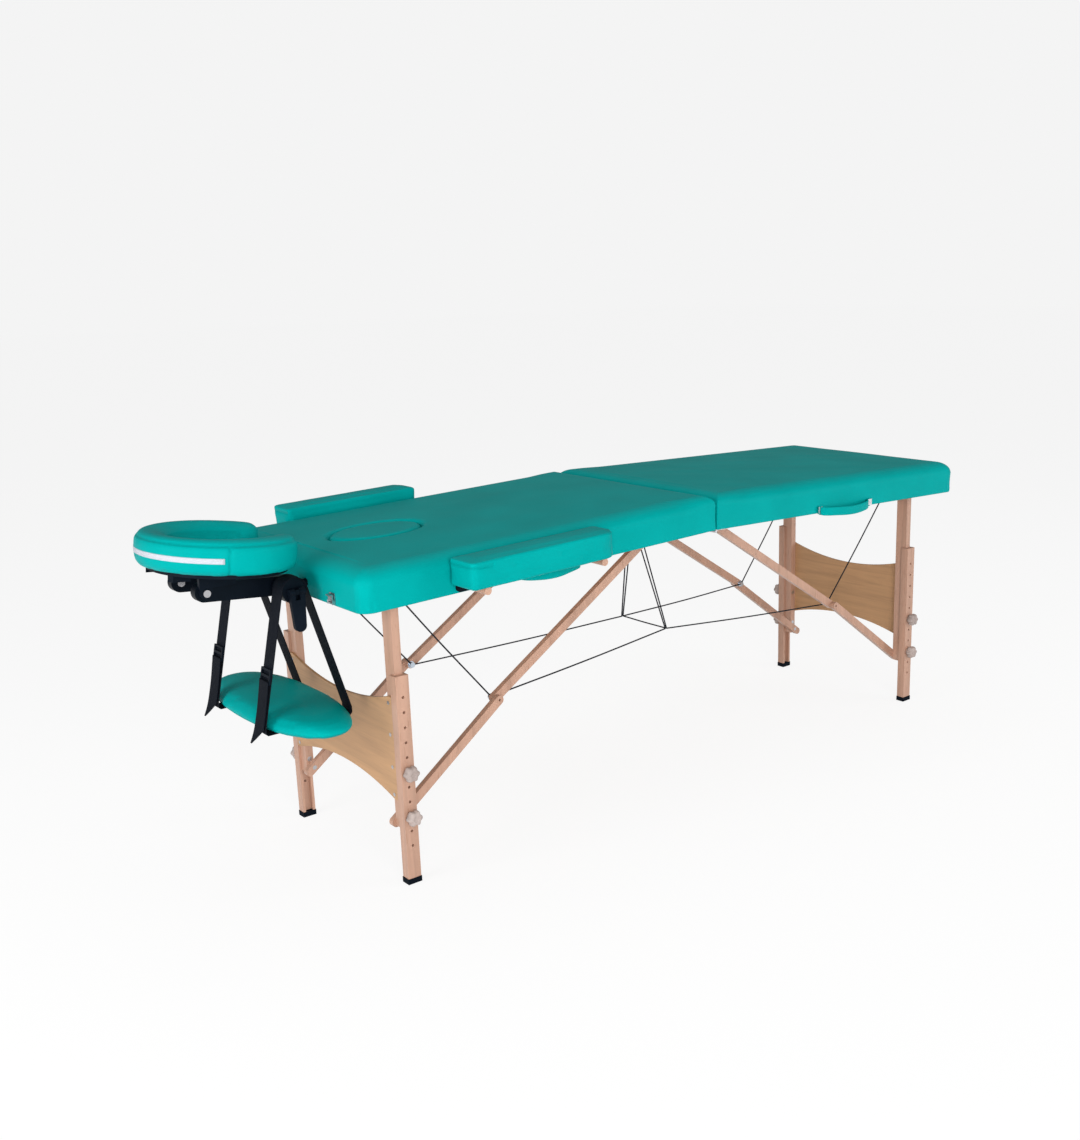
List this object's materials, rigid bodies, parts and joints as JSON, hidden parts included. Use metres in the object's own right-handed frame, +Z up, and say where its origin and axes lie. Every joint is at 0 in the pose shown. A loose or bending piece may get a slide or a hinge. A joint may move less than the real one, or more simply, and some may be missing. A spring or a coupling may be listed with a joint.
{
  "type": "folding massage table",
  "caption": "Portable folding massage table in teal vinyl on beech legs, with face cradle, hanging arm shelf and side armrests",
  "frame": {"origin": "on the floor, under the middle of the object's outline box", "axes": "+X along the table towards its foot end, +Y to the far side, +Z up"},
  "size_m": [2.1636, 0.776, 0.7689],
  "materials": {
    "vinyl": "soft grained vinyl",
    "beech": "clear lacquered beech",
    "plywood": "clear lacquered plywood",
    "steel": "zinc plated",
    "black_metal": "satin black",
    "black_plastic": "moulded, fine texture",
    "knob": "moulded beige",
    "rubber": "matt",
    "webbing": "woven",
    "tape": "hook and loop tape",
    "cord": "sheathed steel cord"
  },
  "bodies": {
    "hinge_pins": {"hinge_pins": "steel"},
    "head_frame": {"head_rails": "beech", "head_deck": "plywood", "head_pad": "vinyl", "head_fittings": "steel", "head_handle": "vinyl", "rest_collars": "black_plastic", "head_stay_cords": "cord"},
    "foot_frame": {"foot_rails": "beech", "foot_deck": "plywood", "foot_pad": "vinyl", "foot_fittings": "steel", "foot_handle": "vinyl", "foot_stay_cords": "cord"},
    "foot_legs": {"foot_upper_legs": "beech", "foot_panel": "plywood", "foot_leg_fasteners": "steel"},
    "foot_upper_struts": {"foot_upper_struts": "beech", "foot_knee_eyes": "steel"},
    "foot_lower_struts": {"foot_lower_struts": "beech"},
    "foot_near_leg": {"foot_near_lower_leg": "beech", "foot_near_foot_cap": "rubber"},
    "foot_near_upper_knob": {"foot_near_upper_knob": "knob"},
    "foot_near_lower_knob": {"foot_near_lower_knob": "knob"},
    "foot_far_leg": {"foot_far_lower_leg": "beech", "foot_far_foot_cap": "rubber"},
    "foot_far_upper_knob": {"foot_far_upper_knob": "knob"},
    "foot_far_lower_knob": {"foot_far_lower_knob": "knob"},
    "head_legs": {"head_upper_legs": "beech", "head_panel": "plywood", "head_leg_fasteners": "steel"},
    "head_upper_struts": {"head_upper_struts": "beech", "head_knee_eyes": "steel"},
    "head_lower_struts": {"head_lower_struts": "beech"},
    "head_near_leg": {"head_near_lower_leg": "beech", "head_near_foot_cap": "rubber"},
    "head_near_upper_knob": {"head_near_upper_knob": "knob"},
    "head_near_lower_knob": {"head_near_lower_knob": "knob"},
    "head_far_leg": {"head_far_lower_leg": "beech", "head_far_foot_cap": "rubber"},
    "head_far_upper_knob": {"head_far_upper_knob": "knob"},
    "head_far_lower_knob": {"head_far_lower_knob": "knob"},
    "face_plug": {"face_plug": "vinyl"},
    "near_latch": {"near_latch_lever": "steel"},
    "near_rest": {"near_rest_base": "beech", "near_rest_pad": "vinyl"},
    "far_latch": {"far_latch_lever": "steel"},
    "far_rest": {"far_rest_base": "beech", "far_rest_pad": "vinyl"},
    "cradle_slide": {"cradle_bracket": "black_metal"},
    "cam_lever": {"cam_lever": "black_plastic"},
    "cradle_arms": {"cradle_arms": "black_metal", "cradle_bolts": "steel"},
    "cradle_head": {"cradle_platform": "black_plastic", "cradle_cushion": "vinyl", "cradle_tape": "tape"},
    "shelf": {"shelf_board": "plywood", "shelf_pad": "vinyl", "shelf_straps": "webbing", "shelf_buckles": "black_plastic"}
  },
  "joints": [
    {"name": "close", "type": "hinge", "parent": "hinge_pins", "child": "head_frame", "pos_m": [0.15493, 0, 0.627], "axis": [0, -1, 0], "range_deg": [0, 66.7], "deforming": ["head_stay_cords", "foot_stay_cords"]},
    {"name": "fold", "type": "hinge", "parent": "hinge_pins", "child": "foot_frame", "pos_m": [0.15493, 0, 0.627], "axis": [0, 1, 0], "range_deg": [0, 110], "deforming": ["head_stay_cords", "foot_stay_cords"]},
    {"name": "foot_legs", "type": "hinge", "parent": "foot_frame", "child": "foot_legs", "pos_m": [0.97793, 0, 0.6233], "axis": [0, 1, 0], "range_deg": [0, 91.65]},
    {"name": "foot_upper_struts", "type": "hinge", "parent": "foot_frame", "child": "foot_upper_struts", "pos_m": [0.20558, 0, 0.64855], "axis": [0, -1, 0], "range_deg": [0, 31.19]},
    {"name": "foot_lower_struts", "type": "hinge", "parent": "foot_legs", "child": "foot_lower_struts", "pos_m": [0.97393, 0, 0.13], "axis": [0, 1, 0], "range_deg": [0, 53.21]},
    {"name": "foot_near_leg_height", "type": "slide", "parent": "foot_legs", "child": "foot_near_leg", "axis": [0, 0, -1], "range_m": [-0.064, 0.128]},
    {"name": "foot_near_upper_knob", "type": "hinge", "parent": "foot_legs", "child": "foot_near_upper_knob", "pos_m": [0.97793, -0.254, 0.244], "axis": [0, -1, 0], "continuous": true},
    {"name": "foot_near_lower_knob", "type": "hinge", "parent": "foot_legs", "child": "foot_near_lower_knob", "pos_m": [0.97793, -0.254, 0.148], "axis": [0, -1, 0], "continuous": true},
    {"name": "foot_far_leg_height", "type": "slide", "parent": "foot_legs", "child": "foot_far_leg", "axis": [0, 0, -1], "range_m": [-0.064, 0.128]},
    {"name": "foot_far_upper_knob", "type": "hinge", "parent": "foot_legs", "child": "foot_far_upper_knob", "pos_m": [0.97793, 0.254, 0.244], "axis": [0, 1, 0], "continuous": true},
    {"name": "foot_far_lower_knob", "type": "hinge", "parent": "foot_legs", "child": "foot_far_lower_knob", "pos_m": [0.97793, 0.254, 0.148], "axis": [0, 1, 0], "continuous": true},
    {"name": "head_legs", "type": "hinge", "parent": "head_frame", "child": "head_legs", "pos_m": [-0.66807, 0, 0.6233], "axis": [0, -1, 0], "range_deg": [0, 91.65]},
    {"name": "head_upper_struts", "type": "hinge", "parent": "head_frame", "child": "head_upper_struts", "pos_m": [0.10429, 0, 0.64855], "axis": [0, 1, 0], "range_deg": [0, 31.19]},
    {"name": "head_lower_struts", "type": "hinge", "parent": "head_legs", "child": "head_lower_struts", "pos_m": [-0.66407, 0, 0.13], "axis": [0, -1, 0], "range_deg": [0, 53.21]},
    {"name": "head_near_leg_height", "type": "slide", "parent": "head_legs", "child": "head_near_leg", "axis": [0, 0, -1], "range_m": [-0.064, 0.128]},
    {"name": "head_near_upper_knob", "type": "hinge", "parent": "head_legs", "child": "head_near_upper_knob", "pos_m": [-0.66807, -0.254, 0.244], "axis": [0, -1, 0], "continuous": true},
    {"name": "head_near_lower_knob", "type": "hinge", "parent": "head_legs", "child": "head_near_lower_knob", "pos_m": [-0.66807, -0.254, 0.148], "axis": [0, -1, 0], "continuous": true},
    {"name": "head_far_leg_height", "type": "slide", "parent": "head_legs", "child": "head_far_leg", "axis": [0, 0, -1], "range_m": [-0.064, 0.128]},
    {"name": "head_far_upper_knob", "type": "hinge", "parent": "head_legs", "child": "head_far_upper_knob", "pos_m": [-0.66807, 0.254, 0.244], "axis": [0, 1, 0], "continuous": true},
    {"name": "head_far_lower_knob", "type": "hinge", "parent": "head_legs", "child": "head_far_lower_knob", "pos_m": [-0.66807, 0.254, 0.148], "axis": [0, 1, 0], "continuous": true},
    {"name": "face_plug", "type": "slide", "parent": "head_frame", "child": "face_plug", "axis": [-0.0288, 0, 0.9996], "range_m": [0, 0.06]},
    {"name": "near_latch", "type": "hinge", "parent": "head_frame", "child": "near_latch", "pos_m": [-0.7796, -0.186, 0.61108], "axis": [0, -1, 0], "range_deg": [0, 140]},
    {"name": "near_rest", "type": "slide", "parent": "head_frame", "child": "near_rest", "axis": [0, -1, 0], "range_m": [0, 0.06]},
    {"name": "far_latch", "type": "hinge", "parent": "head_frame", "child": "far_latch", "pos_m": [-0.7796, 0.186, 0.61108], "axis": [0, -1, 0], "range_deg": [0, 140]},
    {"name": "far_rest", "type": "slide", "parent": "head_frame", "child": "far_rest", "axis": [0, 1, 0], "range_m": [0, 0.06]},
    {"name": "cradle_slide", "type": "slide", "parent": "head_frame", "child": "cradle_slide", "axis": [-0.9996, 0, -0.0288], "range_m": [0, 0.07]},
    {"name": "cradle_arms", "type": "hinge", "parent": "cradle_slide", "child": "cradle_arms", "pos_m": [-0.82508, 0, 0.63078], "axis": [0, 1, 0], "range_deg": [-30, 3]},
    {"name": "cradle_tilt", "type": "hinge", "parent": "cradle_arms", "child": "cradle_head", "pos_m": [-0.97828, 0, 0.64438], "axis": [0, 1, 0], "range_deg": [-35, 1]},
    {"name": "cam_lever", "type": "hinge", "parent": "cradle_slide", "child": "cam_lever", "pos_m": [-0.82508, -0.1355, 0.63078], "axis": [-0.9996, 0, -0.0288], "range_deg": [0, 100]},
    {"name": "shelf_swing", "type": "hinge", "parent": "cradle_slide", "child": "shelf", "pos_m": [-0.82508, 0, 0.63078], "axis": [0, 1, 0], "range_deg": [-5, 15]}
  ],
  "couplings": [
    {"joint": "foot_legs", "follows": "fold", "ratio": 0.83318},
    {"joint": "foot_upper_struts", "follows": "fold", "ratio": 0.28356},
    {"joint": "foot_lower_struts", "follows": "fold", "ratio": 0.48375},
    {"joint": "head_legs", "follows": "fold", "ratio": 0.83318},
    {"joint": "head_upper_struts", "follows": "fold", "ratio": 0.28356},
    {"joint": "head_lower_struts", "follows": "fold", "ratio": 0.48375}
  ]
}
